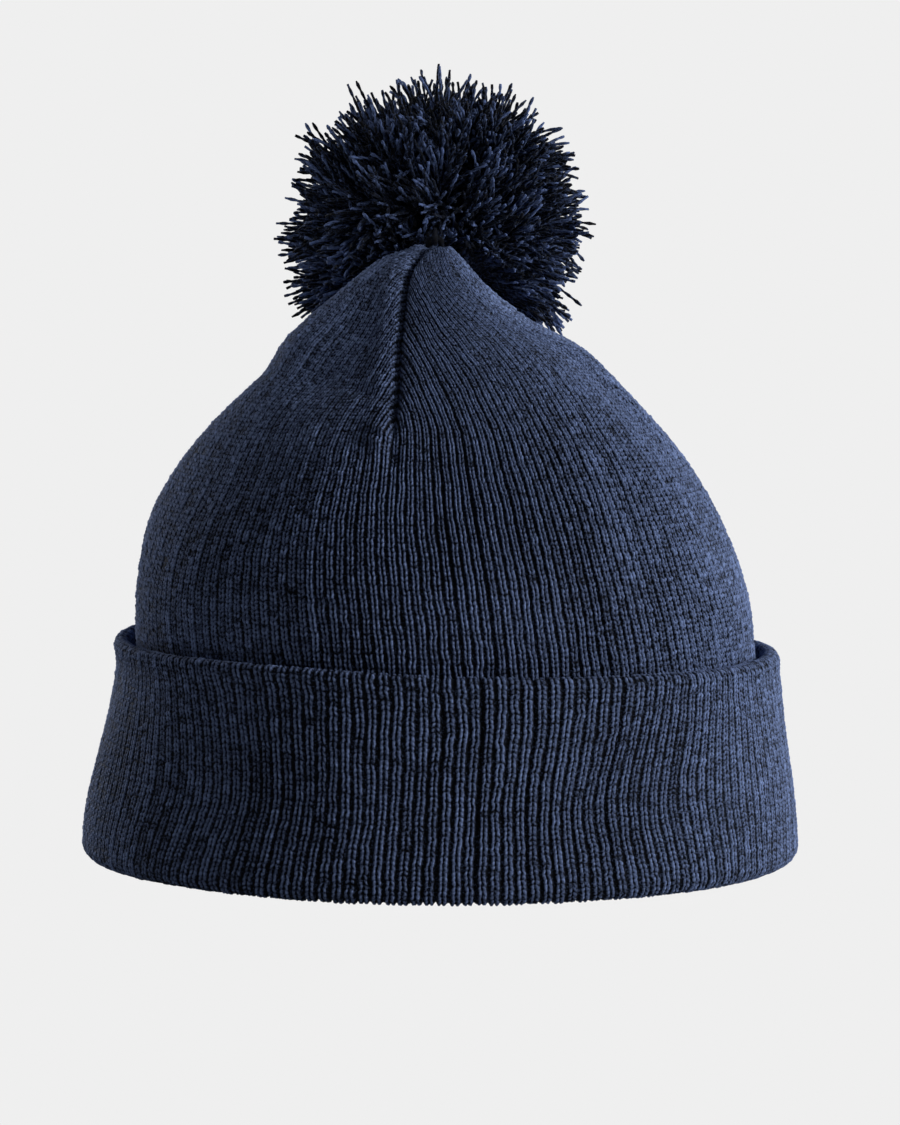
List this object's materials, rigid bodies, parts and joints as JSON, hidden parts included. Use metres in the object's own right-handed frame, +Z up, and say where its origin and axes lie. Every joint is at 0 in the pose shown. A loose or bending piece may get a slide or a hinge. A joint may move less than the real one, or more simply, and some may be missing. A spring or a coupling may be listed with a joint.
{
  "type": "pom pom beanie",
  "caption": "Double-layer ribbed knit winter hat with a turned-up cuff, a darted crown and a loose yarn pom pom tied on at its point.",
  "frame": {"origin": "centre of the underside of the brim, on the surface that the hat stands on", "axes": "+Z up along the crown's axis to its point; the front of the hat faces -Y and the pom pom lies back towards +Y; +X is to the right of someone looking at the front"},
  "size_m": [0.2, 0.2, 0.2146],
  "materials": {
    "knit_navy": "matt 1x1 rib knit in acrylic yarn",
    "lining_navy": "matt 1x1 rib knit, the inner layer",
    "pom_yarn": "soft two-ply acrylic yarn, cut ends",
    "tie_yarn": "tightly twisted yarn",
    "seam_thread": "polyester sewing thread and sewn knit edges",
    "label_satin": "blank woven satin tape"
  },
  "bodies": {
    "hat": {"outer_crown": "knit_navy", "cuff_backing": "knit_navy", "cuff_face": "knit_navy", "lining": "lining_navy", "dart_seam_front": "seam_thread", "dart_seam_right": "seam_thread", "dart_seam_back": "seam_thread", "dart_seam_left": "seam_thread", "lining_seam_front_right": "seam_thread", "lining_seam_back_right": "seam_thread", "lining_seam_back_left": "seam_thread", "lining_seam_front_left": "seam_thread", "crown_gather": "seam_thread", "lining_gather": "seam_thread", "care_label": "label_satin", "label_stitches": "seam_thread"},
    "tie": {"tie_anchor": "tie_yarn", "anchor_knot": "tie_yarn"},
    "pom": {"tie_ring": "tie_yarn", "tie_yarn": "tie_yarn", "pom_core": "pom_yarn", "pom_binding": "tie_yarn", "binding_knot": "tie_yarn", "pom_yarn": "pom_yarn"}
  },
  "joints": [
    {"name": "pom_swing", "type": "hinge", "parent": "hat", "child": "tie", "pos_m": [0, 0, 0.1734], "axis": [0, 0, 1], "range_deg": [-90, 90]},
    {"name": "pom_nod", "type": "hinge", "parent": "tie", "child": "pom", "pos_m": [0, 0, 0.1734], "axis": [1, 0, 0], "range_deg": [0, 88]}
  ]
}
